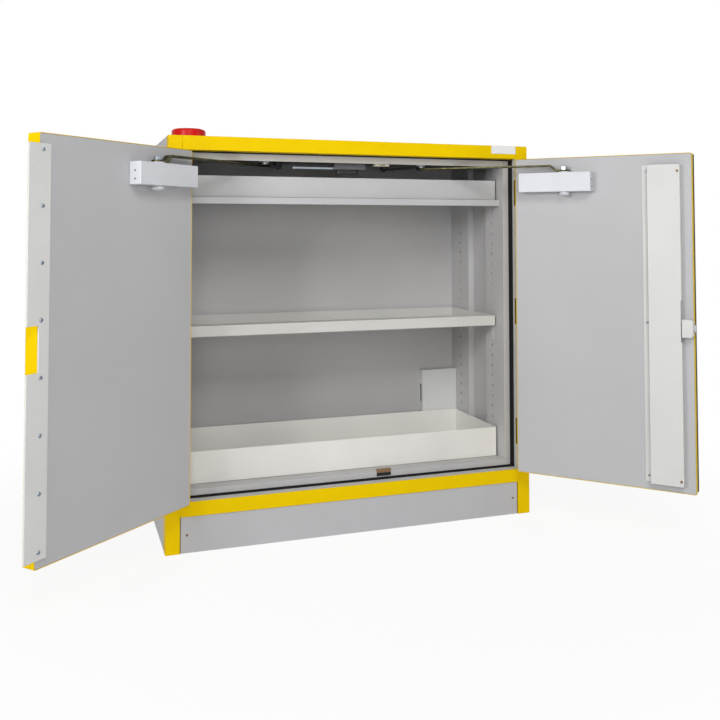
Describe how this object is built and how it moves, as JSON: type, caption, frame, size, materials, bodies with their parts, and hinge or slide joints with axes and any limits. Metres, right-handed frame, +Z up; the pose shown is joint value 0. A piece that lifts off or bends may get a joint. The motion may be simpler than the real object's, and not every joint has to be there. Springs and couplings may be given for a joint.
{
  "type": "underbench safety cabinet",
  "caption": "Low fire-resistant cabinet with two hinged doors, door closers, a shelf, trays and a vent, for use under a bench.",
  "frame": {"origin": "on the floor, in the middle of the plinth panel's foot", "axes": "+Z up, +X to the right seen from the front, +Y to the back"},
  "size_m": [1.2774, 0.658, 0.8668],
  "materials": {
    "yellow_paint": "powder coat, satin",
    "grey_paint": "powder coat, satin",
    "door_face": "fire board with a smooth grey facing",
    "lining_paint": "powder coat, satin",
    "white_paint": "powder coat, satin",
    "closer_housing": "white lacquer",
    "plated_steel": "zinc plated",
    "passivated_steel": "yellow passivated zinc",
    "dark_metal": "dark lacquer",
    "insulation": "mineral fire board",
    "seal_rubber": "matt",
    "black_plastic": "fine grain",
    "red_plastic": "moulded",
    "beige_plastic": "moulded",
    "brown_plate": "tarnished plating"
  },
  "bodies": {
    "cabinet": {"left_stile": "yellow_paint", "right_stile": "yellow_paint", "top_rail": "yellow_paint", "bottom_rail": "yellow_paint", "plinth_panel": "grey_paint", "left_side_panel": "grey_paint", "right_side_panel": "grey_paint", "back_panel": "grey_paint", "top_panel": "grey_paint", "insulation_shell": "insulation", "left_liner": "lining_paint", "right_liner": "lining_paint", "back_liner": "lining_paint", "floor_liner": "lining_paint", "ceiling_liner": "lining_paint", "left_front_upright": "lining_paint", "left_rear_upright": "lining_paint", "right_front_upright": "lining_paint", "right_rear_upright": "lining_paint", "door_seal": "seal_rubber", "main_shelf": "white_paint", "upper_shelf": "white_paint", "upper_tray": "white_paint", "lower_tray": "white_paint", "left_front_shelf_clip": "plated_steel", "left_rear_shelf_clip": "plated_steel", "right_front_shelf_clip": "plated_steel", "right_rear_shelf_clip": "plated_steel", "vent_spigot": "grey_paint", "vent_cap": "red_plastic", "vent_cover": "white_paint", "top_strike": "beige_plastic", "bottom_strike": "brown_plate", "coordinator_block": "dark_metal", "left_bottom_hinge": "yellow_paint", "left_middle_hinge": "yellow_paint", "left_top_hinge": "yellow_paint", "right_bottom_hinge": "yellow_paint", "right_middle_hinge": "yellow_paint", "right_top_hinge": "yellow_paint", "left_closer_bracket": "plated_steel", "right_closer_bracket": "plated_steel"},
    "left_door": {"left_door_skin": "yellow_paint", "left_door_board": "door_face", "left_closer_body": "closer_housing", "centre_strip": "white_paint"},
    "right_door": {"right_door_skin": "yellow_paint", "right_door_board": "door_face", "right_closer_body": "closer_housing", "lock_cover": "white_paint", "latch_housing": "closer_housing"},
    "left_closer_arm": {"left_closer_arm": "passivated_steel"},
    "left_closer_link": {"left_closer_link": "plated_steel"},
    "right_closer_arm": {"right_closer_arm": "passivated_steel"},
    "right_closer_link": {"right_closer_link": "plated_steel"},
    "coordinator_lever": {"coordinator_lever": "black_plastic"},
    "latch_bolt": {"latch_bolt": "plated_steel"},
    "door_handle": {"door_handle": "black_plastic"},
    "upper_lock_rod": {"upper_lock_rod": "plated_steel"},
    "lower_lock_rod": {"lower_lock_rod": "plated_steel"}
  },
  "joints": [
    {"name": "left_door_hinge", "type": "hinge", "parent": "cabinet", "child": "left_door", "pos_m": [-0.375, -0.019, 0.45], "axis": [0, 0, 1], "range_deg": [-2, 138]},
    {"name": "right_door_hinge", "type": "hinge", "parent": "cabinet", "child": "right_door", "pos_m": [0.375, -0.019, 0.45], "axis": [0, 0, -1], "range_deg": [-7, 133]},
    {"name": "left_arm_spindle", "type": "hinge", "parent": "left_door", "child": "left_closer_arm", "pos_m": [-0.43147, -0.13188, 0.758], "axis": [0, 0, -1], "range_deg": [-2.1, 138.2]},
    {"name": "right_arm_spindle", "type": "hinge", "parent": "right_door", "child": "right_closer_arm", "pos_m": [0.42142, -0.13637, 0.758], "axis": [0, 0, 1], "range_deg": [-7.1, 133.2]},
    {"name": "left_link_pivot", "type": "hinge", "parent": "cabinet", "child": "left_closer_link", "pos_m": [-0.13, 0.19, 0.774], "axis": [0, 0, 1], "range_deg": [-2.1, 137.6]},
    {"name": "right_link_pivot", "type": "hinge", "parent": "cabinet", "child": "right_closer_link", "pos_m": [0.13, 0.19, 0.774], "axis": [0, 0, -1], "range_deg": [-7.1, 132.6]},
    {"name": "coordinator_swing", "type": "hinge", "parent": "cabinet", "child": "coordinator_lever", "pos_m": [-0.03, 0.042, 0.757], "axis": [0, 0, 1], "range_deg": [0, 25], "stiffness_Nm_per_rad": 0.05},
    {"name": "latch_slide", "type": "slide", "parent": "right_door", "child": "latch_bolt", "axis": [-0.682, 0.7314, 0], "range_m": [0, 0.0055], "stiffness_N_per_m": 300},
    {"name": "handle_turn", "type": "hinge", "parent": "right_door", "child": "door_handle", "pos_m": [0.58418, -0.24918, 0.434], "axis": [-0.7314, -0.682, 0], "range_deg": [0, 90]},
    {"name": "upper_rod_slide", "type": "slide", "parent": "right_door", "child": "upper_lock_rod", "axis": [0, 0, 1], "range_m": [0, 0.0125]},
    {"name": "lower_rod_slide", "type": "slide", "parent": "right_door", "child": "lower_lock_rod", "axis": [0, 0, -1], "range_m": [0, 0.0069]}
  ],
  "couplings": [
    {"joint": "left_arm_spindle", "follows": "left_door_hinge", "ratio": 1.0004},
    {"joint": "right_arm_spindle", "follows": "right_door_hinge", "ratio": 1.0005},
    {"joint": "left_link_pivot", "follows": "left_door_hinge", "ratio": 0.99567},
    {"joint": "right_link_pivot", "follows": "right_door_hinge", "ratio": 0.99585},
    {"joint": "upper_rod_slide", "follows": "handle_turn", "m_per_rad": 0.007894},
    {"joint": "lower_rod_slide", "follows": "handle_turn", "m_per_rad": 0.004329}
  ]
}
